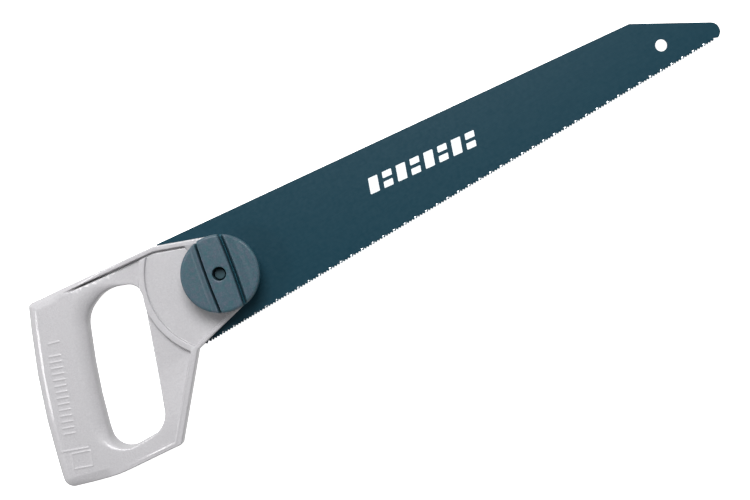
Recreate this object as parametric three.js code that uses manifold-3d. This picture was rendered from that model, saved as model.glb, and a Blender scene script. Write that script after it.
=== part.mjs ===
// Adjustable general-purpose hand saw: a closed D handle cast in one piece, with a slotted nose that
// clamps a tapered blade, and one bolt with a round knob that is both the clamp and the blade's pivot.
//
// Millimetres. The saw lies on its side. The origin is on the pivot axis, at the outer face of the
// bolt's head. +X runs along the tooth line to the toe, +Y towards the back of the blade, and +Z from
// the bolt's head up through the blade to the knob.

import * as THREE from 'three';
import { mergeVertices } from 'three/addons/utils/BufferGeometryUtils.js';
import Module from 'manifold-3d';

const wasm = await Module();
wasm.setup();

// ---------------------------------------------------------------- driving dimensions

const midPlane = 12; // height of the blade's middle
const clearance = 0.3; // gap between pieces that bear on each other
const arcStep = THREE.MathUtils.degToRad(9); // longest facet of a rounded corner

// Blade
const bladeThickness = 1;
const toothLine = -34.8; // y of the tooth tips
const toothPitch = 2.06; // about 12 teeth to the inch
const toothDepth = 1.1;
const backHeight = 36.1; // y of the back edge, level with the pivot
const backTaper = 0.103; // how much the back falls for each millimetre towards the toe
const heelRadius = 47.8; // round heel, centred on the pivot
const noseStart = 315.6; // x where the back turns down to the toe
const toeCentre = [359.5, -28.6];
const toeRadius = 6.2;
const noseNormal = THREE.MathUtils.degToRad(60.5); // direction that the sloping nose faces
const hangHoleCentre = [326.6, -19.5];
const hangHoleRadius = 4;

// Clamp bolt, an M8 with a square neck
const boltRadius = 4;
const boltTop = 29.6;
const boltChamfer = 0.9;
const headRadius = 10;
const headHeight = 4.7;
const headFaceRadius = 7.4;
const neckWidth = 8;
const neckTop = 10.4;

// Casting, corners as [x, y, radius], anticlockwise
const outlineCorners = [
  [85.6, -5.2, 25.9], // nose, round the pivot
  [-29.4, 38.5, 15], // upper cheek meets the top bar
  [-119.7, 47.8, 2.5], // top of the grip
  [-145.5, -8.9, 480], // crowned back of the grip
  [-160, -68.9, 7], // butt
  [-127.4, -78.5, 110], // bend in the bottom bar
  [-80.6, -83.1, 3], // front lower corner
  [-39.4, -35, 2], // lower cheek springs from the front bar
];
const rimWidths = [3.4, 2.8, 3, 3, 3, 3, 4.3, 2.5]; // raised rim along the edge after each corner
const bodyInsets = [0, 0, 3, 3, 0, 0, 0, 0]; // the thin body stops short of the grip's back
const handHoleCorners = [
  [-90.2, 23.2, 20],
  [-107.4, -15.2, 420],
  [-121.5, -67.8, 12],
  [-82.8, -68.5, 16],
  [-49.3, 22.6, 10],
  [-71.4, 31.2, 22],
];
const gripFrontCorners = [
  [-114.4, -79.3, 5], // under the hand hole
  [-117, -56, 12],
  [-106.1, -15.4, 380], // 1.3 past the edge of the hand hole
  [-87.8, 25, 10],
  [-91, 44.8, 5], // where the top bar starts
];
const gripHalf = 12; // half thickness of the grip
const gripRounding = 4;
const gripProud = 0.25; // how far the grip stands out past the bars' edges
const rimHalf = 7; // half thickness of the rims and of the arc ridge
const panelHalf = 5.5; // ... of the cheeks, inside the arc ridge
const webHalf = 3.7; // ... of the web between the ridge and the hand hole
const rimRounding = 0.8;
const ridgeInner = 51.1; // arc ridge, centred on the pivot
const ridgeOuter = 55.5;
const slotRadius = 50.5; // sawn slot for the blade, centred on the pivot
const slotWidth = bladeThickness + 2 * clearance;
const knobBossRadius = 15;
const headBossRadius = 13;

// Clamp knob, with its threaded bush and the washer under it
const washerRadius = 12;
const washerBottom = midPlane + rimHalf + clearance;
const washerThickness = 1.6;
const knobBottom = washerBottom + washerThickness + clearance;
const knobTop = 35.4;
const knobRadius = 25.8;
const knobHoleRadius = 4.5;
const gripBarTilt = THREE.MathUtils.degToRad(-10.6); // of the knob's grip bar, away from +Y
const gripBarHalf = 7.6; // half width of the grip bar at its top
const grooveDepth = 9; // of the groove each side of the bar
const grooveDraft = 0.5; // how far each side wall leans out at its foot
const grooveFloor = 2; // width of the groove's floor
const lipOut = 11.8; // the groove's outer lip, from the bar's middle
const lipDrop = 2.8;
const crescentOut = 16.5; // the lowest line of the crescent outside the lip
const crescentDrop = 4;
const bushRadius = 6;
const bushTop = 30.6;

// ---------------------------------------------------------------- outlines

// The direction from one corner to the next.
function heading(from, to) {
  return new THREE.Vector2(to[0] - from[0], to[1] - from[1]).normalize();
}

// Points of a closed outline whose corners are rounded to their own radius.
function roundedOutline(corners) {
  const points = [];
  corners.forEach((corner, i) => {
    const before = corners.at(i - 1);
    const after = corners[(i + 1) % corners.length];
    const arriving = heading(before, corner);
    const leaving = heading(corner, after);
    const turn = Math.atan2(arriving.cross(leaving), arriving.dot(leaving));
    const tangent = corner[2] * Math.tan(Math.abs(turn) / 2);
    const side = Math.sign(turn);
    const start = new THREE.Vector2(corner[0], corner[1]).addScaledVector(arriving, -tangent);
    const centre = start.clone().add(
      new THREE.Vector2(-arriving.y, arriving.x).multiplyScalar(side * corner[2]),
    );
    const steps = Math.max(3, Math.ceil(Math.abs(turn) / arcStep));
    for (let step = 0; step <= steps; step += 1) {
      points.push(start.clone().rotateAround(centre, (turn * step) / steps));
    }
  });
  return points;
}

// The same corners with each edge moved inwards by its own width.
function insetCorners(corners, widths) {
  return corners.map((corner, i) => {
    const before = corners.at(i - 1);
    const after = corners[(i + 1) % corners.length];
    const arriving = heading(before, corner);
    const leaving = heading(corner, after);
    const a = widths.at(i - 1);
    const b = widths[i];
    const sine = arriving.cross(leaving);
    const along = (b - a * arriving.dot(leaving)) / sine;
    const convex = sine > 0;
    const radius = convex ? Math.max(corner[2] - Math.max(a, b), 1) : corner[2] + Math.min(a, b);
    return [
      corner[0] - arriving.y * a - arriving.x * along,
      corner[1] + arriving.x * a - arriving.y * along,
      radius,
    ];
  });
}

// ---------------------------------------------------------------- solids

// A three.js geometry as a solid that can be joined and cut.
function solid(geometry) {
  geometry.deleteAttribute('normal');
  geometry.deleteAttribute('uv');
  const merged = mergeVertices(geometry, 1e-5);
  return new wasm.Manifold(
    new wasm.Mesh({
      numProp: 3,
      vertProperties: new Float32Array(merged.attributes.position.array),
      triVerts: new Uint32Array(merged.index.array),
    }),
  );
}

// A flat plate from an outline, between two heights.
function plate(points, bottom, top) {
  const geometry = new THREE.ExtrudeGeometry(new THREE.Shape(points), {
    depth: top - bottom,
    bevelEnabled: false,
  });
  geometry.translate(0, 0, bottom);
  return solid(geometry);
}

// The same with its top and bottom edges rounded over.
function roundedPlate(points, bottom, top, rounding, steps) {
  const geometry = new THREE.ExtrudeGeometry(new THREE.Shape(points), {
    depth: top - bottom - 2 * rounding,
    bevelThickness: rounding,
    bevelSize: rounding,
    bevelOffset: -rounding,
    bevelSegments: steps,
  });
  geometry.translate(0, 0, bottom + rounding);
  return solid(geometry);
}

// A body of revolution about the pivot axis, from [radius, height] points.
function revolved(profile, segments) {
  const points = profile.map(([radius, height]) => new THREE.Vector2(radius, height));
  return solid(new THREE.LatheGeometry(points, segments).rotateX(Math.PI / 2));
}

// A disc about the pivot axis.
function disc(radius, bottom, top, segments = 64) {
  return revolved([[0, bottom], [radius, bottom], [radius, top], [0, top]], segments);
}

// A ring about the pivot axis.
function ring(inner, outer, bottom, top, segments = 64) {
  return revolved(
    [[inner, bottom], [outer, bottom], [outer, top], [inner, top], [inner, bottom]],
    segments,
  );
}

// A named mesh from a finished solid.
function mesh(name, shape, look) {
  const { vertProperties, triVerts } = shape.getMesh();
  const geometry = new THREE.BufferGeometry();
  geometry.setAttribute('position', new THREE.BufferAttribute(new Float32Array(vertProperties), 3));
  geometry.setIndex(new THREE.BufferAttribute(new Uint32Array(triVerts), 1));
  geometry.computeVertexNormals();
  const part = new THREE.Mesh(geometry, new THREE.MeshStandardMaterial(look));
  part.name = name;
  return part;
}

// ---------------------------------------------------------------- handle casting

function handleCasting() {
  const outline = roundedOutline(insetCorners(outlineCorners, bodyInsets));
  const recess = roundedOutline(insetCorners(outlineCorners, rimWidths));
  const far = midPlane - gripHalf;
  const near = midPlane + gripHalf;
  let body = roundedPlate(outline, midPlane - rimHalf, midPlane + rimHalf, rimRounding, 2);

  // Recesses on both faces: the web outside the arc ridge and the cheek panels inside it.
  const webs = [
    plate(recess, midPlane + webHalf, near),
    plate(recess, far, midPlane - webHalf),
  ];
  const insideRidge = disc(ridgeOuter, far, near, 96);
  webs.forEach((web) => {
    body = body.subtract(web.subtract(insideRidge));
  });
  const panels = [
    plate(recess, midPlane + panelHalf, near),
    plate(recess, far, midPlane - panelHalf),
  ];
  const insidePanel = disc(ridgeInner, far, near, 96);
  panels.forEach((panel) => {
    body = body.subtract(panel.intersect(insidePanel));
  });

  // The thick grip, from the back edge to just past the hand hole's edge.
  const gripCorners = [...outlineCorners.slice(2, 5), ...gripFrontCorners].map(
    ([x, y, radius]) => [x, y, Math.max(radius, gripRounding + 1)],
  );
  const proud = gripCorners.map(() => -gripProud);
  const gripOutline = roundedOutline(insetCorners(gripCorners, proud));
  const grip = roundedPlate(gripOutline, far, near, gripRounding, 4);
  body = body.add(grip);
  body = body.subtract(plate(roundedOutline(handHoleCorners), far - 1, near + 1));

  // Bosses for the washer and the bolt head, the blade's slot, and the bolt's two holes.
  body = body.add(disc(knobBossRadius, midPlane, midPlane + rimHalf));
  body = body.add(disc(headBossRadius, midPlane - rimHalf, midPlane));
  body = body.subtract(disc(slotRadius, midPlane - slotWidth / 2, midPlane + slotWidth / 2, 96));
  body = body.subtract(disc(boltRadius + clearance, midPlane, near, 40));
  const squareWidth = neckWidth + 2 * clearance;
  const squareHole = new THREE.BoxGeometry(squareWidth, squareWidth, gripHalf);
  squareHole.translate(0, 0, midPlane - gripHalf / 2);
  body = body.subtract(solid(squareHole));

  return mesh('handle_casting', body, { color: 0xc8c6ca, roughness: 0.45, metalness: 0.1 });
}

// ---------------------------------------------------------------- saw blade

function bladeOutline() {
  const backAt = (x) => backHeight - backTaper * x;
  const heelLow = Math.PI + Math.asin(-toothLine / heelRadius);
  const heelHigh = Math.PI - Math.asin(backAt(-heelRadius * 0.59) / heelRadius);
  const gullet = toothLine + toothDepth;
  const firstTooth = heelRadius * Math.cos(heelLow) + toothPitch;
  const teeth = Math.floor((toeCentre[0] - firstTooth) / toothPitch);

  const outline = new THREE.Shape();
  outline.moveTo(firstTooth - toothPitch / 2, gullet);
  for (let tooth = 0; tooth < teeth; tooth += 1) {
    const start = firstTooth + tooth * toothPitch;
    outline.lineTo(start + toothPitch / 2, toothLine);
    outline.lineTo(start + toothPitch, gullet);
  }
  outline.absarc(toeCentre[0], toeCentre[1], toeRadius, -Math.PI / 2, noseNormal, false);
  outline.lineTo(noseStart, backAt(noseStart));
  outline.absarc(0, 0, heelRadius, heelHigh, heelLow, false);
  outline.closePath();

  outline.holes = [
    new THREE.Path().absarc(0, 0, boltRadius + clearance, 0, 2 * Math.PI, true),
    new THREE.Path().absarc(...hangHoleCentre, hangHoleRadius, 0, 2 * Math.PI, true),
  ];
  return outline;
}

function sawBlade() {
  const geometry = new THREE.ExtrudeGeometry(bladeOutline(), {
    depth: bladeThickness,
    bevelEnabled: false,
    curveSegments: 16,
  });
  geometry.translate(0, 0, midPlane - bladeThickness / 2);
  return mesh('saw_blade', solid(geometry), { color: 0x22495a, roughness: 0.4, metalness: 0.3 });
}

// ---------------------------------------------------------------- clamp bolt and washer

const blackSteel = { color: 0x2c2e31, roughness: 0.45, metalness: 0.6 };

function clampBolt() {
  const crown = headHeight - clearance;
  const headAndShank = revolved(
    [
      [0, 0],
      [headFaceRadius, 0],
      [headFaceRadius + 1.4, 0.5],
      [headRadius - 0.4, 1.4],
      [headRadius, crown / 2],
      [headRadius, headHeight],
      [boltRadius, headHeight],
      [boltRadius, boltTop - boltChamfer],
      [boltRadius - boltChamfer, boltTop],
      [0, boltTop],
    ],
    40,
  );
  const neck = new THREE.BoxGeometry(neckWidth, neckWidth, neckTop - crown);
  neck.translate(0, 0, (neckTop + crown) / 2);
  const bolt = headAndShank.add(solid(neck));
  return mesh('clamp_bolt', bolt, blackSteel);
}

function thrustWasher() {
  const washer = ring(
    boltRadius + clearance,
    washerRadius,
    washerBottom,
    washerBottom + washerThickness,
    48,
  );
  return mesh('thrust_washer', washer, { color: 0xb4b8ba, roughness: 0.35, metalness: 0.9 });
}

// ---------------------------------------------------------------- clamp knob and bush

// What is cut away on one side of the knob's grip bar: a deep narrow groove, and above the crescent
// outside it, which dips between the groove's lip and the rim.
function knobSideCut(turn) {
  const floor = knobTop - grooveDepth;
  const foot = gripBarHalf + grooveDraft;
  const outside = knobRadius + 2;
  const profile = new THREE.Shape();
  profile.moveTo(gripBarHalf, knobTop + 1);
  profile.lineTo(gripBarHalf, knobTop - 0.4);
  profile.lineTo(foot, floor);
  profile.lineTo(foot + grooveFloor, floor);
  profile.lineTo(lipOut - 0.4, knobTop - lipDrop - 0.3);
  profile.lineTo(lipOut + 0.4, knobTop - lipDrop);
  profile.quadraticCurveTo(crescentOut - 2, knobTop - crescentDrop, crescentOut, knobTop - crescentDrop);
  profile.lineTo(outside, knobTop - lipDrop);
  profile.lineTo(outside, knobTop + 1);
  profile.closePath();
  const length = 2 * outside;
  const geometry = new THREE.ExtrudeGeometry(profile, {
    depth: length,
    bevelEnabled: false,
    curveSegments: 5,
  });
  geometry.rotateX(Math.PI / 2);
  geometry.translate(0, length / 2, 0);
  geometry.rotateZ(gripBarTilt + turn);
  return solid(geometry);
}

function clampKnob() {
  const cavity = bushRadius + clearance;
  const cavityTop = bushTop + clearance;
  const blank = revolved(
    [
      [cavity, knobBottom],
      [knobRadius - 1.6, knobBottom],
      [knobRadius - 0.5, knobBottom + 0.6],
      [knobRadius, knobBottom + 2],
      [knobRadius, knobTop - 6],
      [knobRadius - 0.5, knobTop - 3],
      [knobRadius - 1.8, knobTop - 1],
      [knobRadius - 3.6, knobTop],
      [knobHoleRadius, knobTop],
      [knobHoleRadius, cavityTop],
      [cavity, cavityTop],
      [cavity, knobBottom],
    ],
    72,
  );
  const knob = blank.subtract(knobSideCut(0)).subtract(knobSideCut(Math.PI));
  return mesh('clamp_knob', knob, { color: 0x5a7384, roughness: 0.4, metalness: 0 });
}

function knobBush() {
  const bush = ring(boltRadius + clearance, bushRadius, knobBottom, bushTop, 40);
  return mesh('knob_bush', bush, blackSteel);
}

// ---------------------------------------------------------------- assembly

const handSaw = new THREE.Group();
handSaw.add(handleCasting(), clampBolt(), sawBlade(), thrustWasher(), clampKnob(), knobBush());

export default handSaw;
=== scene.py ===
import math

import bmesh
import bpy
import numpy as np
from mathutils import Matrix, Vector


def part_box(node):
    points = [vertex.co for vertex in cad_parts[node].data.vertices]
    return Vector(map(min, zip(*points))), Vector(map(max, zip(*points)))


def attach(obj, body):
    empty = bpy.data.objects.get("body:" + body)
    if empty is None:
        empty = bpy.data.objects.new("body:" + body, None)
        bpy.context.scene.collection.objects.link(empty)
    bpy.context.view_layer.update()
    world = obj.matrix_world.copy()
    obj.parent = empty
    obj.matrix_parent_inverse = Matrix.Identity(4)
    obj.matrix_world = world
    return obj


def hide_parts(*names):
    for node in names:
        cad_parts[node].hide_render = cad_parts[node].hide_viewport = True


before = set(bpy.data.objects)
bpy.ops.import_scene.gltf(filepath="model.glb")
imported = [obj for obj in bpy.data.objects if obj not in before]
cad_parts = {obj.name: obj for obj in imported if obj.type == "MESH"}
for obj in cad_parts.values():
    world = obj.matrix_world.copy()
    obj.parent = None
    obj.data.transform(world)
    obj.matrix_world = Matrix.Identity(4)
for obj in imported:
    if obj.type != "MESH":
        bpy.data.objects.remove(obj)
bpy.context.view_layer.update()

# Adjustable hand saw: a cast handle, a coated blade on a pivot, and the bolt and knob to clamp it.
# Modelling is in millimetres in the row frame; MM turns it into metres when a mesh is made.
# +X runs along the tooth line to the toe, +Y to the back of the blade and +Z towards the knob.

MM = 0.001


# ---------------------------------------------------------------- places taken from the frame

def cad_span(node):
    """A CAD node's lowest and highest corners, in millimetres."""
    low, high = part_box(node)
    return np.array(low) / MM, np.array(high) / MM


casting_low, casting_high = cad_span("handle_casting")
blade_low, blade_high = cad_span("saw_blade")
washer_low, washer_high = cad_span("thrust_washer")
knob_low, knob_high = cad_span("clamp_knob")
bush_low, bush_high = cad_span("knob_bush")
bolt_low, bolt_high = cad_span("clamp_bolt")

MID = (blade_low[2] + blade_high[2]) / 2
BLADE_T = blade_high[2] - blade_low[2]
GRIP_HALF = (casting_high[2] - casting_low[2]) / 2
KNOB_R = (knob_high[0] - knob_low[0]) / 2
BUSH_R = (bush_high[0] - bush_low[0]) / 2
WASHER_R = (washer_high[0] - washer_low[0]) / 2
HEAD_R = (bolt_high[0] - bolt_low[0]) / 2


# ---------------------------------------------------------------- outlines, as [x, y, radius]

CASTING_CORNERS = [
    (85.6, -5.2, 25.9),  # nose, round the pivot
    (-29.4, 38.5, 15),  # upper cheek meets the top bar
    (-119.7, 47.8, 2.8),  # top of the grip
    (-145.5, -8.9, 480),  # crowned back of the grip
    (-160, -68.9, 7),  # butt
    (-127.4, -78.5, 110),  # bend in the bottom bar
    (-80.6, -83.1, 1.8),  # front lower corner
    (-39.4, -35, 2),  # lower cheek springs from the front bar
]
RIM_WIDTHS = [3.3, 3.0, 3, 3, 3, 2.9, 4.3, 2.5]  # of the edges that start at those corners
HOLE_CORNERS = [
    (-90.2, 23.2, 20),
    (-107.4, -15.2, 420),
    (-121.5, -67.8, 12),
    (-82.8, -68.5, 16),
    (-49.3, 22.6, 10),
    (-71.4, 31.2, 22),
]


def heading(a, b):
    """Unit vector from one corner to the next."""
    step = np.array(b[:2], float) - np.array(a[:2], float)
    return step / np.linalg.norm(step)


def turn_between(u, v):
    """Signed angle from one direction to another, anticlockwise positive."""
    return math.atan2(u[0] * v[1] - u[1] * v[0], u @ v)


def rounded_outline(corners, arc_step=math.radians(5)):
    """Points of a closed anticlockwise outline whose corners are rounded to their own radius."""
    points = []
    for i, (x, y, radius) in enumerate(corners):
        u = heading(corners[i - 1], corners[i])
        v = heading(corners[i], corners[(i + 1) % len(corners)])
        turn = turn_between(u, v)
        start = np.array([x, y]) - u * radius * math.tan(abs(turn) / 2)
        side = math.copysign(radius, turn)
        centre = start + side * np.array([-u[1], u[0]])
        count = max(3, math.ceil(abs(turn) / arc_step))
        for angle in np.linspace(0, turn, count + 1):
            c, s = math.cos(angle), math.sin(angle)
            arm = start - centre
            points.append(centre + [c * arm[0] - s * arm[1], s * arm[0] + c * arm[1]])
    return np.array(points)


def inset_corners(corners, widths):
    """The same corners with each edge moved inwards by its own width."""
    moved = []
    for i, (x, y, radius) in enumerate(corners):
        u = heading(corners[i - 1], corners[i])
        v = heading(corners[i], corners[(i + 1) % len(corners)])
        sine = u[0] * v[1] - u[1] * v[0]
        a, b = widths[i - 1], widths[i]
        along = (b - a * (u @ v)) / sine
        rounding = max(radius - max(a, b), 1) if sine > 0 else radius + min(a, b)
        moved.append((x - u[1] * a - u[0] * along, y + u[0] * a - u[1] * along, rounding))
    return moved


# ---------------------------------------------------------------- fields and their surface

def distance_to_lines(lines, x, y):
    """Distance to the nearest of some straight lines, at every point of a flat grid."""
    nearest = np.full(x.shape, np.inf)
    for (ax, ay), (bx, by) in lines:
        ex, ey = bx - ax, by - ay
        along = np.clip(((x - ax) * ex + (y - ay) * ey) / (ex * ex + ey * ey), 0, 1)
        nearest = np.minimum(nearest, np.hypot(x - ax - along * ex, y - ay - along * ey))
    return nearest


def distance_to_outline(outline, x, y):
    """Signed distance to a closed outline, negative inside, at every point of a flat grid."""
    lines = list(zip(outline, np.roll(outline, -1, axis=0)))
    inside = np.zeros(x.shape, bool)
    for (ax, ay), (bx, by) in lines:
        if ay != by:
            inside ^= ((ay > y) != (by > y)) & (x < ax + (bx - ax) * (y - ay) / (by - ay))
    nearest = distance_to_lines(lines, x, y)
    return np.where(inside, -nearest, nearest)


def smooth_step(low, high, value):
    """0 at low, 1 at high and eased between; low may be the larger of the two."""
    t = np.clip((value - low) / (high - low), 0, 1)
    return t * t * (3 - 2 * t)


def blend_max(a, b, width):
    """The larger of two fields, with a fillet where they cross."""
    h = np.clip(0.5 + 0.5 * (a - b) / width, 0, 1)
    return b + (a - b) * h + width * h * (1 - h)


def blend_min(a, b, width):
    """The smaller of two fields, with a fillet where they cross."""
    return -blend_max(-a, -b, width)


def round_max(a, b, radius):
    """The solid inside both fields, with the edge between them rounded to a true radius."""
    outer = np.hypot(np.maximum(a + radius, 0), np.maximum(b + radius, 0))
    return np.minimum(np.maximum(a, b), -radius) + outer


def above_height(z, height, step):
    """Distance above a height map, corrected for its slope."""
    slope = np.hypot(*np.gradient(height, step))
    return (z - height[:, :, None]) / np.sqrt(1 + slope * slope)[:, :, None]


def sample_grid(low, high, step):
    """A grid two steps wider than a box: its lowest corner, flat x and y, and upright z."""
    margin = 2 * step
    start = low - margin
    counts = np.ceil((high - low + 2 * margin) / step).astype(int) + 1
    xs, ys, zs = (start[i] + step * np.arange(counts[i]) for i in range(3))
    x, y = np.meshgrid(xs, ys, indexing="ij")
    return start, x, y, zs[None, None, :]


CELL_CORNERS = np.array([(i, j, k) for i in (0, 1) for j in (0, 1) for k in (0, 1)])
CELL_EDGES = [
    (a, b)
    for a in range(8)
    for b in range(a + 1, 8)
    if np.abs(CELL_CORNERS[a] - CELL_CORNERS[b]).sum() == 1
]


def surface_net(field, origin, step):
    """Vertices and quads of the surface where a sampled field crosses zero."""
    solid = field < 0
    count = np.zeros(np.array(field.shape) - 1, np.int8)
    nx, ny, nz = count.shape
    for i, j, k in CELL_CORNERS:
        count += solid[i : nx + i, j : ny + j, k : nz + k]
    cells = np.argwhere((count > 0) & (count < 8))
    values = np.stack([field[tuple((cells + corner).T)] for corner in CELL_CORNERS], 1)
    total = np.zeros((len(cells), 3))
    hits = np.zeros(len(cells))
    for a, b in CELL_EDGES:
        crossed = (values[:, a] < 0) != (values[:, b] < 0)
        part = np.divide(
            values[:, a], values[:, a] - values[:, b], out=np.zeros(len(cells)), where=crossed
        )
        point = CELL_CORNERS[a] + part[:, None] * (CELL_CORNERS[b] - CELL_CORNERS[a])
        total += crossed[:, None] * point
        hits += crossed
    vertices = origin + step * (cells + total / hits[:, None])

    index = np.full(count.shape, -1, np.int64)
    index[tuple(cells.T)] = np.arange(len(cells))
    quads = []
    for axis in range(3):
        change = np.diff(solid.astype(np.int8), axis=axis)
        across = [other for other in range(3) if other != axis]
        for sign in (-1, 1):
            edges = np.argwhere(change == sign)
            edges = edges[(edges[:, across] > 0).all(1)]
            back_a = np.eye(3, dtype=int)[across[0]]
            back_b = np.eye(3, dtype=int)[across[1]]
            ring = [edges, edges - back_a, edges - back_a - back_b, edges - back_b]
            if (sign > 0) != (axis == 1):
                ring.reverse()
            quads.append(np.stack([index[tuple(cell.T)] for cell in ring], 1))
    return vertices, np.concatenate(quads)


# ---------------------------------------------------------------- meshes

def new_piece(name, body, material, replaces=(), vertices=(), faces=()):
    """A piece from vertices, in millimetres, and faces."""
    mesh = bpy.data.meshes.new(name)
    mesh.from_pydata(np.asarray(vertices, float) * MM, [], np.asarray(faces).tolist())
    return add_piece(mesh, name, body, material, replaces)


def add_piece(mesh, name, body, material, replaces=()):
    """An object for a finished mesh, that rides on a body and takes a material."""
    piece = bpy.data.objects.new(name, mesh)
    bpy.context.scene.collection.objects.link(piece)
    mesh.materials.append(material)
    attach(piece, body)
    if replaces:
        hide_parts(*replaces)
    return piece


def smooth_piece(piece, keep):
    """Thins a piece to a share of its faces, mostly where it is flat, and shades it smooth."""
    thin = piece.modifiers.new("thin", "DECIMATE")
    thin.ratio = keep
    bpy.context.view_layer.update()
    finished = bpy.data.meshes.new_from_object(
        piece.evaluated_get(bpy.context.evaluated_depsgraph_get())
    )
    piece.modifiers.clear()
    old = piece.data
    piece.data = finished
    bpy.data.meshes.remove(old)
    piece.data.name = piece.name
    piece.data.shade_smooth()


def turned_piece(name, body, material, profile, replaces=(), segments=96, sharp=30):
    """A body about the pivot axis, from a loop of (radius, height).

    A radius may be a function of the angle.
    """
    angles = np.linspace(0, 2 * math.pi, segments, endpoint=False)
    count = len(profile)
    vertices = []
    for angle in angles:
        for radius, z in profile:
            r = radius(angle) if callable(radius) else radius
            vertices.append((r * math.cos(angle), r * math.sin(angle), z))
    faces = []
    for i in range(segments):
        here, there = i * count, (i + 1) % segments * count
        for j in range(count):
            after = (j + 1) % count
            if profile[j][0] == 0 and profile[after][0] == 0:
                continue
            faces.append((here + j, there + j, there + after, here + after))
    piece = new_piece(name, body, material, replaces, vertices, faces)
    weld(piece.data, sharp)
    return piece


def weld(mesh, sharp):
    """Joins doubled points, turns faces outwards and keeps corners sharper than an angle crisp."""
    work = bmesh.new()
    work.from_mesh(mesh)
    bmesh.ops.remove_doubles(work, verts=work.verts, dist=1e-7)
    bmesh.ops.dissolve_degenerate(work, edges=work.edges, dist=1e-7)
    bmesh.ops.recalc_face_normals(work, faces=work.faces)
    work.to_mesh(mesh)
    work.free()
    mesh.shade_smooth()
    mesh.set_sharp_from_angle(angle=math.radians(sharp))


# ---------------------------------------------------------------- material nodes

def set_range(node, low, high, to_low, to_high):
    """Sets a Map Range node from one range of values to another."""
    node.inputs["From Min"].default_value = low
    node.inputs["From Max"].default_value = high
    node.inputs["To Min"].default_value = to_low
    node.inputs["To Max"].default_value = to_high


class Graph:
    """A material's node tree, with short calls for the nodes used here."""

    def __init__(self, name):
        self.material = bpy.data.materials.new(name)
        self.material.use_nodes = True
        self.tree = self.material.node_tree
        self.shader = self.tree.nodes["Principled BSDF"]
        where = self.node("ShaderNodeTexCoord")
        self.place = self.scaled(where.outputs["Object"], 1 / MM)

    def node(self, kind, **settings):
        """A new node with some of its settings."""
        made = self.tree.nodes.new(kind)
        for key, value in settings.items():
            setattr(made, key, value)
        return made

    def link(self, source, target):
        self.tree.links.new(source, target)

    def scaled(self, vector, factor):
        """Coordinates multiplied by a number, or by one for each axis."""
        factors = factor if isinstance(factor, tuple) else (factor,) * 3
        made = self.node("ShaderNodeVectorMath", operation="MULTIPLY")
        self.link(vector, made.inputs[0])
        made.inputs[1].default_value = factors
        return made.outputs[0]

    def noise(self, size, detail=2.0, stretch=(1, 1, 1), rough=0.5):
        """Noise from 0 to 1 whose lumps are about size millimetres across."""
        made = self.node("ShaderNodeTexNoise")
        self.link(self.scaled(self.place, stretch), made.inputs["Vector"])
        made.inputs["Scale"].default_value = 1 / size
        made.inputs["Detail"].default_value = detail
        made.inputs["Roughness"].default_value = rough
        return made.outputs["Fac"]

    def ramp(self, value, low, high, to_low, to_high):
        """A value mapped from one range to another, and held at its ends."""
        made = self.node("ShaderNodeMapRange")
        self.link(value, made.inputs["Value"])
        set_range(made, low, high, to_low, to_high)
        return made.outputs["Result"]

    def math(self, operation, a, b):
        """An arithmetic node on two values, each a number or a socket."""
        made = self.node("ShaderNodeMath", operation=operation)
        for socket, value in zip(made.inputs, (a, b)):
            if isinstance(value, (int, float)):
                socket.default_value = value
            else:
                self.link(value, socket)
        return made.outputs[0]

    def mix(self, factor, a, b):
        """A colour between two, each a colour or a socket."""
        made = self.node("ShaderNodeMix", data_type="RGBA")
        self.link(factor, made.inputs["Factor"])
        for socket, value in zip((made.inputs[6], made.inputs[7]), (a, b)):
            if isinstance(value, tuple):
                socket.default_value = (*value, 1)
            else:
                self.link(value, socket)
        return made.outputs[2]

    def bump(self, height, depth):
        """Bump whose full height is depth millimetres."""
        made = self.node("ShaderNodeBump")
        made.inputs["Distance"].default_value = depth * MM
        self.link(height, made.inputs["Height"])
        self.link(made.outputs[0], self.shader.inputs["Normal"])

    def colour(self, socket):
        self.link(socket, self.shader.inputs["Base Color"])

    def roughness(self, socket):
        self.link(socket, self.shader.inputs["Roughness"])

    def fix(self, **values):
        """Sets shader inputs that are the same all over."""
        for key, value in values.items():
            self.shader.inputs[key.replace("_", " ")].default_value = value


def casting_enamel():
    """Light grey enamel over a cast surface: fine orange peel, speckle and faint clouding."""
    g = Graph("casting_enamel")
    clouds = g.noise(16, 3)
    grain = g.noise(1.2, 3)
    speckle = g.ramp(g.noise(1.1, 3, rough=0.7), 0.3, 0.7, 0, 1)
    tone = g.mix(speckle, (0.372, 0.362, 0.380), (0.446, 0.441, 0.454))
    g.colour(g.mix(g.ramp(clouds, 0.35, 0.65, 0.5, 0), tone, (0.404, 0.398, 0.412)))
    g.roughness(g.ramp(grain, 0.3, 0.7, 0.34, 0.48))
    pits = g.noise(0.45, 2)
    g.bump(g.math("ADD", g.math("MULTIPLY", pits, 0.4), grain), 0.16)
    g.fix(Specular_IOR_Level=0.45, Coat_Weight=0.5, Coat_Roughness=0.14)
    return g.material


def blade_coating():
    """Dark teal low-friction coating: faint rolling streaks along the blade and soft mottling."""
    g = Graph("blade_coating")
    mottle = g.noise(2.4, 3, rough=0.6)
    streaks = g.noise(0.7, 3, stretch=(0.04, 1, 1))
    tone = g.mix(g.math("MULTIPLY", g.math("ADD", mottle, streaks), 0.5),
                 (0.001, 0.024, 0.040), (0.007, 0.041, 0.061))
    g.colour(tone)
    g.roughness(g.ramp(mottle, 0.3, 0.7, 0.30, 0.38))
    g.bump(streaks, 0.004)
    g.fix(Specular_IOR_Level=0.22)
    return g.material


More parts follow.
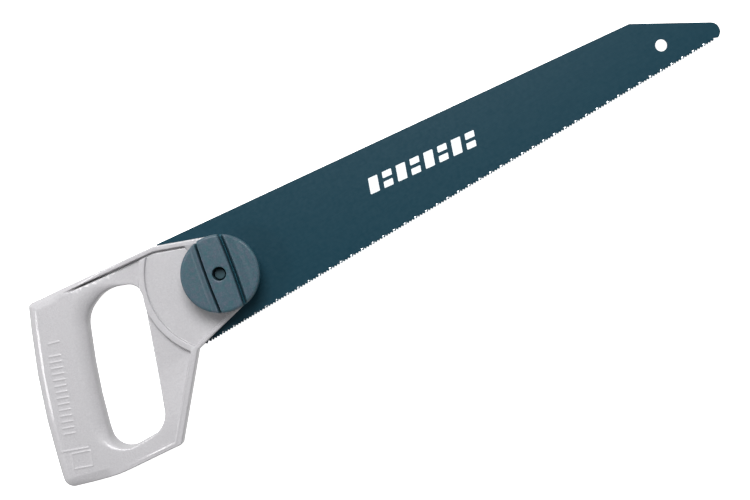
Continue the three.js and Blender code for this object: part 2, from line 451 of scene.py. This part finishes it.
def ground_steel():
    """Bare steel on the ground tooth tips."""
    g = Graph("ground_steel")
    lines = g.noise(0.25, 2, stretch=(1, 0.15, 1))
    g.colour(g.mix(lines, (0.42, 0.45, 0.47), (0.66, 0.68, 0.70)))
    g.roughness(g.ramp(lines, 0.3, 0.7, 0.28, 0.45))
    g.fix(Metallic=1.0)
    return g.material


def blade_ink():
    """White print, slightly worn."""
    g = Graph("blade_ink")
    worn = g.noise(1.2, 4, rough=0.7)
    g.colour(g.mix(g.ramp(worn, 0.55, 0.8, 0, 1), (0.72, 0.76, 0.78), (0.38, 0.46, 0.50)))
    g.roughness(g.ramp(worn, 0.3, 0.7, 0.45, 0.6))
    return g.material


KNOB_PAINTED_SHADE_DEPTHS = (8.5, 4.5)  # below the knob's top, where the painted shade in the grooves ends and begins


def knob_plastic():
    """Blue-grey moulded plastic with a coarse sparked finish, and painted shade darkening it down
    in the grooves.
    """
    g = Graph("knob_plastic")
    clouds = g.noise(2.6, 3)
    spark = g.noise(0.9, 3, rough=0.65)
    pigment = g.mix(g.ramp(clouds, 0.3, 0.7, 0, 1), (0.026, 0.088, 0.104), (0.074, 0.088, 0.122))
    tone = g.mix(g.ramp(spark, 0.35, 0.65, 0.75, 0), pigment, (0.024, 0.058, 0.078))
    height = g.node("ShaderNodeSeparateXYZ")
    g.link(g.place, height.inputs[0])
    deep, shallow = (knob_high[2] - depth for depth in KNOB_PAINTED_SHADE_DEPTHS)
    # Painted shade: the colour turns deep teal down in the grooves, standing in for the shade that
    # falls there.
    painted_groove_shade_fade = g.ramp(height.outputs["Z"], deep, shallow, 0, 1)
    g.colour(g.mix(painted_groove_shade_fade, (0.012, 0.072, 0.102), tone))
    g.roughness(g.ramp(spark, 0.3, 0.7, 0.34, 0.46))
    g.bump(spark, 0.05)
    g.fix(Specular_IOR_Level=0.35)
    return g.material


def zinc_steel():
    """Bright zinc plate with a faint cloudy passivation."""
    g = Graph("zinc_steel")
    clouds = g.noise(3, 3)
    turning = g.noise(0.2, 2, stretch=(0.3, 0.3, 3))
    g.colour(g.mix(clouds, (0.50, 0.52, 0.54), (0.62, 0.63, 0.62)))
    g.roughness(g.ramp(turning, 0.3, 0.7, 0.26, 0.42))
    g.bump(turning, 0.006)
    g.fix(Metallic=1.0)
    return g.material


def black_steel():
    """Chemically blackened steel, rubbed a little on its high spots."""
    g = Graph("black_steel")
    clouds = g.noise(1.6, 4)
    g.colour(g.mix(clouds, (0.012, 0.044, 0.056), (0.030, 0.070, 0.086)))
    g.roughness(g.ramp(clouds, 0.3, 0.7, 0.38, 0.55))
    g.bump(g.noise(0.3, 2), 0.008)
    g.fix(Metallic=0.4)
    return g.material


def floor_paper():
    """Plain near-white sheet on a light table."""
    g = Graph("floor_paper")
    g.colour(g.mix(g.noise(60, 2), (0.92, 0.92, 0.92), (0.95, 0.95, 0.95)))
    g.roughness(g.ramp(g.noise(2, 2), 0.3, 0.7, 0.85, 0.95))
    g.fix(Specular_IOR_Level=0.1, Emission_Color=(1, 1, 1, 1), Emission_Strength=0.9)
    return g.material


# ---------------------------------------------------------------- handle casting

CASTING_STEP = 0.45
CASTING_KEEP = 0.35  # share of its faces that is kept
GAP = 0.3  # between pieces that bear on each other

# Half thicknesses of the casting.
RIM_HALF = 7.0
RIDGE_HALF = 6.6  # at the arc ridge
PANEL_HALF = 5.0  # at the cheek panels
WEB_HALF = 3.7  # at the web between ridge and hand hole
BASE_HALF = 6.8  # at the foot of the bottom bar
BASE_FADE = (-32, -74)  # y over which the web thickens to it

# The grip ends at a line, as [x, y]. It fades into the bars over a distance past that line.
GRIP_FRONT = [(-117.4, -90), (-115.9, -60), (-105.4, -16), (-89.4, 22), (-85.4, 60)]
GRIP_LEAN = math.radians(20)
GRIP_FADE = (-6, 32)

# The arc ridge, centred on the pivot, and the groove and walls inside the rims.
RIDGE_IN, RIDGE_OUT = 51.1, 55.5
RIDGE_WALL = 0.3  # half the run of the ridge's drafted walls
WALL = 0.5  # run of the drafted wall beside each rim
NOSE_WALL = 6  # how much longer that run is beside the knob
UPPER_RIM_Y = 8  # the upper rim lies above this
GROOVE_WIDTH, GROOVE_DEPTH = 1.0, 0.9  # along the inside of the upper rim
GROOVE_START, GROOVE_END = -98.0, -12.4  # x where the groove fades in, and its square end
GROOVE_FADE = 26
BEAD_HALF, BEAD_HEIGHT = 0.75, 0.3  # of the beads along the lower rims
BEAD_OUT = 0.4  # of a bead's middle, from the rim's inner edge
BEAD_FADE = (-34, -40)  # y over which the beads come in

# Rolled edges, as (width, drop): round the hand hole and round the outside, and how much more of
# each there is along the grip. Both grow over a range of y.
HOLE_EDGE, HOLE_ROLL, HOLE_ROLL_FADE = (0.8, 0.3), (10.7, 7.7), (-72, -44)
OUTER_EDGE, OUTER_ROLL, OUTER_ROLL_FADE = (1.0, 0.5), (3.7, 3.2), (-78, -66)
CREASE_IN = 6.2  # of the crease round the back of the grip, from its edge
CREASE_SLOPE = 0.268  # of the facet outside the crease
CREASE_FADE = (-8, -16)  # past the grip's front line

# Slot, bosses and the bolt's square and round holes.
SLOT_R = 50.5
SLOT_HALF = BLADE_T / 2 + GAP
KNOB_BOSS_R, HEAD_BOSS_R = 15.0, 13.0
WALL_EDGE_R, BOSS_EDGE_R, BOSS_FILLET = 0.6, 0.4, 0.8
NECK_HALF = 4.3
SHANK_R = 4.3

# Cast ribs on the grip's near face.
RIB_HEIGHT, RIB_HALF, RIB_DRAFT = 0.35, 0.45, 0.3
RIB_RULES = [((-120.6, 18.2), (-113.9, 16.4)), ((-149.0, -46.8), (-132.9, -53.0))]
LADDER_START, LADDER_END = np.array((-121.0, 9.5)), np.array((-138.8, -39.0))
LADDER_RIBS, LADDER_HALF = 14, 3.6
PLAQUE_CENTRE, PLAQUE_HALVES = np.array((-140.2, -58.0)), (6.2, 5.0)


def past_grip_front(x, y):
    """Signed distance past the line where the grip ends and the bars begin."""
    front_x = np.interp(y, [p[1] for p in GRIP_FRONT], [p[0] for p in GRIP_FRONT])
    return (x - front_x) * math.cos(GRIP_LEAN)


def rolled_edge(distance, least, more, share):
    """How far a face falls as it rolls over towards an edge, along a quarter ellipse.

    The ellipse's width and drop are the least ones and a share of what there is more.
    """
    width, drop = (a + b * share for a, b in zip(least, more))
    t = np.clip(1 - distance / width, 0, 0.999)
    return drop * (1 - np.sqrt(1 - t * t))


def grip_ribs():
    """Middle lines of the grip's cast ribs: two rules, a ladder between them and a plaque."""
    down = (LADDER_END - LADDER_START) / np.linalg.norm(LADDER_END - LADDER_START)
    across = np.array((-down[1], down[0]))
    ribs = list(RIB_RULES)
    for share in np.linspace(0, 1, LADDER_RIBS):
        middle = LADDER_START + share * (LADDER_END - LADDER_START)
        ribs.append((middle - LADDER_HALF * across, middle + LADDER_HALF * across))
    wide, tall = PLAQUE_HALVES[0] * across, PLAQUE_HALVES[1] * down
    plaque = [PLAQUE_CENTRE + wide + tall, PLAQUE_CENTRE - wide + tall,
              PLAQUE_CENTRE - wide - tall, PLAQUE_CENTRE + wide - tall]
    ribs += [(plaque[i - 1], plaque[i]) for i in range(4)]
    return ribs


def grip_relief(x, y):
    """Height of the cast ribs on the grip's near face."""
    nearest = distance_to_lines(grip_ribs(), x, y)
    return RIB_HEIGHT * (1 - smooth_step(RIB_HALF - RIB_DRAFT, RIB_HALF + RIB_DRAFT, nearest))


def casting_half_thickness(x, y, edge, hole):
    """Half thickness of the casting over its outline."""
    radius = np.hypot(x, y)
    rim_line = rounded_outline(inset_corners(CASTING_CORNERS, RIM_WIDTHS))
    recess = -distance_to_outline(rim_line, x, y)
    past = past_grip_front(x, y)
    grip = 1 - smooth_step(*GRIP_FADE, past)
    rim = RIM_HALF + (GRIP_HALF - RIM_HALF) * grip
    web = WEB_HALF + (BASE_HALF - WEB_HALF) * smooth_step(*BASE_FADE, y)
    web += (GRIP_HALF - web) * grip

    # The cheek's panel gives way to the web under the arc ridge.
    cheek = 1 - smooth_step(RIDGE_OUT - 2, RIDGE_OUT - 1, radius)
    floor = web + (PANEL_HALF - web) * cheek
    ridge = smooth_step(RIDGE_IN - RIDGE_WALL, RIDGE_IN + RIDGE_WALL, radius)
    ridge *= 1 - smooth_step(RIDGE_OUT - RIDGE_WALL, RIDGE_OUT + RIDGE_WALL, radius)
    floor += np.maximum(RIDGE_HALF - floor, 0) * ridge

    # The groove inside the upper rim cuts across the ridge's end and stops square by the knob.
    upper = y > UPPER_RIM_Y
    groove = smooth_step(0, WALL, recess)
    groove *= 1 - smooth_step(GROOVE_WIDTH, GROOVE_WIDTH + WALL, recess)
    groove *= upper & (x < GROOVE_END)
    groove *= smooth_step(GROOVE_START, GROOVE_START + GROOVE_FADE, x)
    bottom = np.where(radius > RIDGE_OUT, np.minimum(web, PANEL_HALF), PANEL_HALF)
    floor += (bottom - GROOVE_DEPTH - floor) * groove

    # The rims, with their drafted inner walls and beads.
    wall_run = WALL + NOSE_WALL * smooth_step(GROOVE_END, GROOVE_END + 1, x) * upper
    half = rim + (floor - rim) * np.clip(recess / wall_run, 0, 1)
    bead = 1 - smooth_step(0, BEAD_HALF, np.abs(recess + BEAD_OUT))
    half += BEAD_HEIGHT * bead * smooth_step(*BEAD_FADE, y) * (1 - grip)

    # Edges that roll over, most of all along the grip, and the crease down the grip's back.
    roll = grip * smooth_step(*HOLE_ROLL_FADE, y)
    half -= rolled_edge(hole, HOLE_EDGE, HOLE_ROLL, roll)
    roll = grip * grip * smooth_step(*OUTER_ROLL_FADE, y)
    half -= rolled_edge(-edge, OUTER_EDGE, OUTER_ROLL, roll)
    slope = CREASE_SLOPE * smooth_step(*CREASE_FADE, past)
    half -= slope * np.maximum(CREASE_IN + edge, 0)
    return half


def handle_casting(material):
    """The closed D handle, as one smooth body with cast fillets."""
    start, x, y, z = sample_grid(casting_low, casting_high, CASTING_STEP)
    radius = np.hypot(x, y)[:, :, None]

    edge = distance_to_outline(rounded_outline(CASTING_CORNERS), x, y)
    hole = distance_to_outline(rounded_outline(HOLE_CORNERS), x, y)
    half = casting_half_thickness(x, y, edge, hole)
    near = above_height(z - MID, half + grip_relief(x, y), CASTING_STEP)
    far = above_height(MID - z, half, CASTING_STEP)
    wall = np.maximum(edge, -hole)[:, :, None]
    body = round_max(wall, np.maximum(near, far), WALL_EDGE_R)

    boss_top = np.where(z > MID, KNOB_BOSS_R, HEAD_BOSS_R)
    boss = round_max(radius - boss_top, np.abs(z - MID) - RIM_HALF, BOSS_EDGE_R)
    body = blend_min(body, boss, BOSS_FILLET)
    slot = np.maximum(radius - SLOT_R, np.abs(z - MID) - SLOT_HALF)
    shank = np.maximum(radius - SHANK_R, MID - z)
    neck = np.maximum(np.maximum(np.abs(x), np.abs(y))[:, :, None] - NECK_HALF, z - MID)
    body = np.maximum(body, -np.minimum(slot, np.minimum(shank, neck)))

    vertices, faces = surface_net(body, start, CASTING_STEP)
    piece = new_piece(
        "handle_body", "handle", material, ["handle_casting"], vertices, faces
    )
    smooth_piece(piece, CASTING_KEEP)
    return piece


# ---------------------------------------------------------------- clamp knob

KNOB_STEP = 0.3
KNOB_KEEP = 0.5
BAR_TILT = math.radians(-10.6)  # of the knob's grip bar, away from +Y
BAR_HALF = 7.5
GROOVE_SCALES = (0.72, 1.35)  # width of the grooves on the bar's -X and +X sides
BAR_WAIST = 0.7  # how much narrower the bar is at the rim, each side
# The knob's section beside its grip bar: (distance out from the bar's edge, drop below its top).
KNOB_SECTION = [
    (-2, 0), (-0.25, 0), (0.35, 0.5), (0.6, 9.3), (1.1, 9.5), (1.8, 5.6), (2.5, 2.7), (2.9, 1.9),
    (3.3, 1.8), (4.7, 2.5), (6.6, 3.6), (8.8, 4.2), (12, 3.8), (20, 2.9),
]
KNOB_HOLE_R = 4.5
KNOB_EDGE_R, KNOB_FOOT_R, KNOB_HOLE_FILLET = 1.6, 0.6, 0.6
KNOB_BULGE, KNOB_WIDEST = 0.005, 5  # of its crowned side, and the height where it is widest


def knob_height(x, y):
    """Height of the knob's top: a bar, a deep groove each side and a dished crescent outside."""
    across = x * math.cos(BAR_TILT) + y * math.sin(BAR_TILT)
    along = -x * math.sin(BAR_TILT) + y * math.cos(BAR_TILT)
    out = np.abs(across) - BAR_HALF + BAR_WAIST * (along / KNOB_R) ** 2
    out /= np.where(across < 0, *GROOVE_SCALES)
    return knob_high[2] - np.interp(out, *zip(*KNOB_SECTION))


def clamp_knob(material):
    """The round knob, hollow below for its bush and open in the middle."""
    start, x, y, z = sample_grid(knob_low, knob_high, KNOB_STEP)
    radius = np.hypot(x, y)[:, :, None]

    side = radius - KNOB_R + KNOB_BULGE * (z - knob_low[2] - KNOB_WIDEST) ** 2
    body = round_max(side, above_height(z, knob_height(x, y), KNOB_STEP), KNOB_EDGE_R)
    body = round_max(body, knob_low[2] - z, KNOB_FOOT_R)
    body = blend_max(body, KNOB_HOLE_R - radius, KNOB_HOLE_FILLET)
    bush = np.maximum(radius - BUSH_R - GAP, z - bush_high[2] - GAP)
    body = np.maximum(body, -bush)

    vertices, faces = surface_net(body, start, KNOB_STEP)
    piece = new_piece(
        "knob_body", "knob", material, ["clamp_knob"], vertices, faces
    )
    smooth_piece(piece, KNOB_KEEP)
    return piece


# ---------------------------------------------------------------- saw blade

TOOTH_LINE = -34.8
TOOTH_PITCH = 2.06
TOOTH_DEPTH = 1.1
TOOTH_SET = 0.22
BACK_HEIGHT, BACK_TAPER = 36.1, 0.103  # at the pivot, and its fall for each millimetre of x
HEEL_R = 47.8
HEEL_END = -28.2  # x where the heel's arc meets the back
NOSE_START = 315.6  # x where the back meets the slanting nose
NOSE_CORNER = (0.01, 1.1, 1.4)  # radius and angles of that corner
NOSE_FACING = math.radians(60.5)
TOE, TOE_R = (359.5, -28.6), 6.2
TOE_FACING = -math.pi / 2 + 0.35  # where the toe's arc meets the teeth
HANG_HOLE, HANG_HOLE_R = (326.6, -19.5), 4.0
STRIP = 0.6  # height of the strip above the gullets that bends with the set
MARK_START, MARK_END = np.array((116.0, -0.9)), np.array((186.0, -8.4))  # along the mark's middle
MARK_BARS = 8
MARK_HALF_HEIGHT, MARK_HALF_WIDTH = 5.2, 3.3
MARK_SPLITS = [((-1, 1),), ((-1, -0.22), (0.22, 1))]  # the bars are whole and split by turns
MARK_LEAN = math.radians(14)
INK_T = 0.04


def arc(centre, radius, start, end, count):
    """Evenly spaced points of an arc, anticlockwise if the end is the larger angle."""
    angles = np.linspace(start, end, count)
    return [(centre[0] + radius * math.cos(a), centre[1] + radius * math.sin(a)) for a in angles]


def back_at(x):
    """Height of the blade's back at a distance from the pivot."""
    return BACK_HEIGHT - BACK_TAPER * x


def saw_blade(coating, steel):
    """The blade plate with its teeth, set in waves of four."""
    gullet = TOOTH_LINE + TOOTH_DEPTH
    heel_low = math.pi + math.asin(-TOOTH_LINE / HEEL_R)
    heel_high = math.pi - math.asin(back_at(HEEL_END) / HEEL_R)
    first = HEEL_R * math.cos(heel_low) + TOOTH_PITCH
    teeth = int((TOE[0] - first) // TOOTH_PITCH)

    work = bmesh.new()
    near, far = blade_high[2], blade_low[2]

    def vertex(x, y, z):
        return work.verts.new((x * MM, y * MM, z * MM))

    # The plate, down to a strip above the gullets, in half pitches.
    halves = [first + k * TOOTH_PITCH / 2 for k in range(2 * teeth + 1)]
    outline = [(x, gullet + STRIP) for x in halves]
    outline += arc(TOE, TOE_R, TOE_FACING, NOSE_FACING, 12)
    outline += arc((NOSE_START, back_at(NOSE_START)), *NOSE_CORNER, 2)
    outline += arc((0, 0), HEEL_R, heel_high, heel_low, 30)
    rings = []
    for z in (near, far):
        rings.append([vertex(x, y, z) for x, y in outline])
    for centre, radius in (((0, 0), SHANK_R), (HANG_HOLE, HANG_HOLE_R)):
        circle = arc(centre, radius, 0, 2 * math.pi, 49)[:-1]
        for z in (near, far):
            rings.append([vertex(x, y, z) for x, y in circle])
    loops = [[work.edges.new((ring[i - 1], ring[i])) for i in range(len(ring))] for ring in rings]
    for side in (0, 1):
        edges = loops[side] + loops[2 + side] + loops[4 + side]
        bmesh.ops.triangle_fill(work, edges=edges, use_beauty=True)
    for start in (0, 2, 4):
        top, bottom = rings[start], rings[start + 1]
        for i in range(len(top)):
            if start == 0 and 1 <= i < len(halves):
                continue
            work.faces.new((top[i - 1], top[i], bottom[i], bottom[i - 1]))

    # The strip bends with the set of the teeth, and each tooth is a blunt point below it. The bend
    # above a tooth that is set towards the near face is ground bright.
    lean = [TOOTH_SET * math.sin(i * math.pi / 2) for i in range(-1, teeth + 1)]
    bends = [(lean[(k + 1) // 2] + lean[(k + 2) // 2]) / 2 for k in range(len(halves))]
    lines = [[vertex(x, gullet, z + bend) for x, bend in zip(halves, bends)] for z in (near, far)]
    for i in range(teeth):
        tips = [vertex(halves[2 * i + 1], TOOTH_LINE, z + lean[i + 1]) for z in (near, far)]
        for side in (0, 1):
            plate, line = rings[side], lines[side]
            for k in (2 * i, 2 * i + 1):
                bend = work.faces.new((plate[k], plate[k + 1], line[k + 1], line[k]))
                bend.material_index = side == 0 and k % 2 == 0 and lean[i + 1] > TOOTH_SET / 2
                work.faces.new((line[k], line[k + 1], tips[side]))
        for k in (2 * i, 2 * i + 2):
            flank = work.faces.new((lines[0][k], lines[1][k], tips[1], tips[0]))
            flank.material_index = 1
    for k in (0, len(halves) - 1):
        work.faces.new((rings[0][k], rings[1][k], lines[1][k], lines[0][k]))
    bmesh.ops.recalc_face_normals(work, faces=work.faces)
    mesh = bpy.data.meshes.new("blade_plate")
    work.to_mesh(mesh)
    work.free()
    piece = add_piece(mesh, "blade_plate", "blade", coating, ["saw_blade"])
    mesh.materials.append(steel)
    return piece


def blade_mark(ink):
    """A plain printed mark: a row of leaning bars, every other one split in two."""
    along = (MARK_END - MARK_START) / np.linalg.norm(MARK_END - MARK_START)
    lean = np.array((-along[1], along[0])) + math.tan(MARK_LEAN) * along
    wide, tall = MARK_HALF_WIDTH * along, MARK_HALF_HEIGHT * lean
    vertices, faces = [], []
    for i in range(MARK_BARS):
        middle = MARK_START + i / (MARK_BARS - 1) * (MARK_END - MARK_START)
        for low, high in MARK_SPLITS[i % 2]:
            corners = [(*(middle + a * wide + b * tall), 0.5)
                       for a, b in ((-1, low), (1, low), (1, high), (-1, high))]
            outline = rounded_outline(corners)
            first, count = len(vertices), len(outline)
            for z in (blade_high[2], blade_high[2] + INK_T):
                vertices += [(x, y, z) for x, y in outline]
            faces.append([first + k for k in reversed(range(count))])
            faces.append([first + count + k for k in range(count)])
            for k in range(count):
                after = (k + 1) % count
                faces.append([first + k, first + after, first + count + after, first + count + k])
    mesh = bpy.data.meshes.new("blade_mark")
    mesh.from_pydata((np.array(vertices) * MM).tolist(), [], faces)
    return add_piece(mesh, "blade_mark", "blade", ink)


# ---------------------------------------------------------------- bolt, washer, bush

BOLT_R = 4.0
THREAD_PITCH = 1.25
THREAD_DEPTH = 0.65
THREAD_START = 15.5
THREAD_STEP = THREAD_PITCH / 8
THREAD_RUNOUT = 0.9  # below the bolt's end
NECK_WIDTH, NECK_TOP = 8.0, 10.4
NECK_CORNER_R = 5.3
HEAD_TOP = 4.7
HEAD_CROWN = 7.4  # radius of the flat crown of the bolt's head
HEAD_DOME = 2.2  # height of the dome round it
BORE_R = BOLT_R + GAP
KNURLS, KNURL_DEPTH = 36, 0.25
BUSH_CHAMFER = 0.5
WAIST_DEPTH, WAIST_HALF, WAIST_EDGE = 0.7, 0.5, 0.8  # of the waist between the bush's knurls


def square_radius(angle):
    """Radius of the bolt's square neck, with its corners taken off."""
    square = NECK_WIDTH / 2 / max(abs(math.cos(angle)), abs(math.sin(angle)))
    return min(square, NECK_CORNER_R)


def thread_radius(z, crest):
    """The radius of a right-hand thread at a height, as a function of the angle."""

    def radius(angle):
        phase = (z / THREAD_PITCH - angle / (2 * math.pi)) % 1
        flank = min(1, max(0, 1.6 * abs(2 * phase - 1) - 0.3))
        return crest - THREAD_DEPTH * flank

    return radius


def clamp_bolt(material):
    """The clamp bolt: a domed head with a flat crown, a square neck and a threaded shank."""
    crown_z, top = bolt_low[2], bolt_high[2]
    profile = [(0, crown_z), (HEAD_CROWN, crown_z)]
    for angle in np.linspace(math.radians(20), math.radians(90), 7):
        profile.append((HEAD_CROWN + (HEAD_R - HEAD_CROWN) * math.sin(angle),
                        crown_z + HEAD_DOME * (1 - math.cos(angle))))
    profile += [(HEAD_R, HEAD_TOP - 0.3), (HEAD_R - 0.3, HEAD_TOP), (square_radius, HEAD_TOP),
                (square_radius, NECK_TOP - 0.4), (BOLT_R, NECK_TOP), (BOLT_R, THREAD_START)]
    for z in np.arange(THREAD_START + THREAD_STEP, top - THREAD_RUNOUT, THREAD_STEP):
        profile.append((thread_radius(z, BOLT_R), z))
    profile += [(BOLT_R - THREAD_DEPTH - 0.1, top), (0, top)]
    return turned_piece("bolt_body", "handle", material, profile, ["clamp_bolt"])


def thrust_washer(material):
    """The washer under the knob, with its edges taken off."""
    edge = 0.2
    low, high = washer_low[2], washer_high[2]
    profile = [(BORE_R + edge, low), (WASHER_R - edge, low), (WASHER_R, low + edge),
               (WASHER_R, high - edge), (WASHER_R - edge, high), (BORE_R + edge, high),
               (BORE_R, high - edge), (BORE_R, low + edge)]
    return turned_piece(
        "washer_ring", "washer", material, profile, ["thrust_washer"]
    )


def knob_bush(material):
    """The knob's threaded insert, knurled in two bands so that the moulding holds it."""

    def knurl(angle):
        return BUSH_R - KNURL_DEPTH * abs(math.sin(KNURLS * angle / 2))

    low, high = bush_low[2], bush_high[2]
    waist, waist_r = (low + high) / 2, BUSH_R - WAIST_DEPTH
    bevel = BUSH_CHAMFER
    profile = [(BORE_R + bevel, low), (BUSH_R - bevel, low), (knurl, low + bevel),
               (knurl, waist - WAIST_EDGE), (waist_r, waist - WAIST_HALF),
               (waist_r, waist + WAIST_HALF), (knurl, waist + WAIST_EDGE), (knurl, high - bevel),
               (BUSH_R - bevel, high), (BORE_R + bevel, high), (BORE_R, high - bevel),
               (BORE_R, low + bevel)]
    return turned_piece("bush_body", "knob", material, profile, ["knob_bush"], 288)


# ---------------------------------------------------------------- studio, in metres

FLOOR_HALF = 3.0
LIT_POINT = (0.05, 0, 0)
SKY_LEVELS = (1.05, 0.2)  # brightness near the horizon and overhead
SKY_BRIGHT_SIDE = 99  # azimuth of the brighter side, degrees
SKY_SIDES = (0.7, 1.3)  # how bright the far side and the bright side are
GROUND_LEVEL = 0.75
LENS, SENSOR_WIDTH = 65, 36  # millimetres
VIEW_WIDTH = 0.497
VIEW_CENTRE = (0.0943, -0.0385)
VIEW_TURN = math.radians(-30.9)


def floor():
    """A light table. The saw doesn't mirror it, so that its walls show against it."""
    mesh = bpy.data.meshes.new("studio_floor")
    corners = [(-1, -1), (1, -1), (1, 1), (-1, 1)]
    mesh.from_pydata([(FLOOR_HALF * x, FLOOR_HALF * y, 0) for x, y in corners], [], [(0, 1, 2, 3)])
    mesh.materials.append(floor_paper())
    plane = bpy.data.objects.new("studio_floor", mesh)
    bpy.context.scene.collection.objects.link(plane)
    plane.visible_glossy = False
    plane.visible_diffuse = False


def softbox(name, azimuth, elevation, distance, size, power):
    """A soft light aimed at the saw, placed by direction (degrees) and distance."""
    lamp = bpy.data.lights.new(name, "AREA")
    lamp.shape = "RECTANGLE"
    lamp.size, lamp.size_y = size
    lamp.energy = power
    thing = bpy.data.objects.new(name, lamp)
    bpy.context.scene.collection.objects.link(thing)
    turn, rise = math.radians(azimuth), math.radians(elevation)
    arm = distance * Vector(
        (math.cos(rise) * math.cos(turn), math.cos(rise) * math.sin(turn), math.sin(rise))
    )
    thing.location = Vector(LIT_POINT) + arm
    thing.rotation_euler = (-arm).to_track_quat("-Z", "Y").to_euler()


def sky():
    """Soft surroundings: pale walls, brighter on one side, a dimmer ceiling and a dim ground."""
    world = bpy.data.worlds.new("studio")
    bpy.context.scene.world = world
    world.use_nodes = True
    nodes, links = world.node_tree.nodes, world.node_tree.links
    direction = nodes.new("ShaderNodeTexCoord").outputs["Generated"]
    turn = math.radians(SKY_BRIGHT_SIDE)

    def level(axis, low, high, levels):
        """A brightness that changes along one axis of the view direction."""
        along = nodes.new("ShaderNodeVectorMath")
        along.operation = "DOT_PRODUCT"
        along.inputs[1].default_value = axis
        links.new(direction, along.inputs[0])
        fade = nodes.new("ShaderNodeMapRange")
        links.new(along.outputs["Value"], fade.inputs["Value"])
        set_range(fade, low, high, *levels)
        return fade.outputs["Result"]

    total = level((0, 0, 1), 0.1, 0.8, SKY_LEVELS)
    for other in (
        level((math.cos(turn), math.sin(turn), 0), -1, 1, SKY_SIDES),
        level((0, 0, 1), -0.15, 0.1, (GROUND_LEVEL, 1)),
    ):
        product = nodes.new("ShaderNodeMath")
        product.operation = "MULTIPLY"
        links.new(total, product.inputs[0])
        links.new(other, product.inputs[1])
        total = product.outputs[0]
    links.new(total, nodes["Background"].inputs["Strength"])
    nodes["Background"].inputs["Color"].default_value = (1, 1, 1, 1)


def camera():
    """A camera straight above the saw, as wide as the view at the height of the blade."""
    lens = bpy.data.cameras.new("camera")
    lens.lens = LENS
    lens.sensor_width = SENSOR_WIDTH
    thing = bpy.data.objects.new("camera", lens)
    bpy.context.scene.collection.objects.link(thing)
    distance = VIEW_WIDTH * lens.lens / lens.sensor_width
    thing.location = (*VIEW_CENTRE, MID * MM + distance)
    thing.rotation_euler = (0, 0, VIEW_TURN)
    bpy.context.scene.camera = thing


camera()
floor()
sky()
softbox("key", azimuth=68, elevation=57, distance=1.7, size=(0.95, 0.85), power=35)
softbox("glint", azimuth=164.6, elevation=42, distance=1.75, size=(0.25, 0.25), power=4.6)
bpy.context.scene.view_settings.view_transform = "Standard"

handle_casting(casting_enamel())
clamp_knob(knob_plastic())
saw_blade(blade_coating(), ground_steel())
blade_mark(blade_ink())
black = black_steel()
clamp_bolt(black)
thrust_washer(zinc_steel())
knob_bush(black)
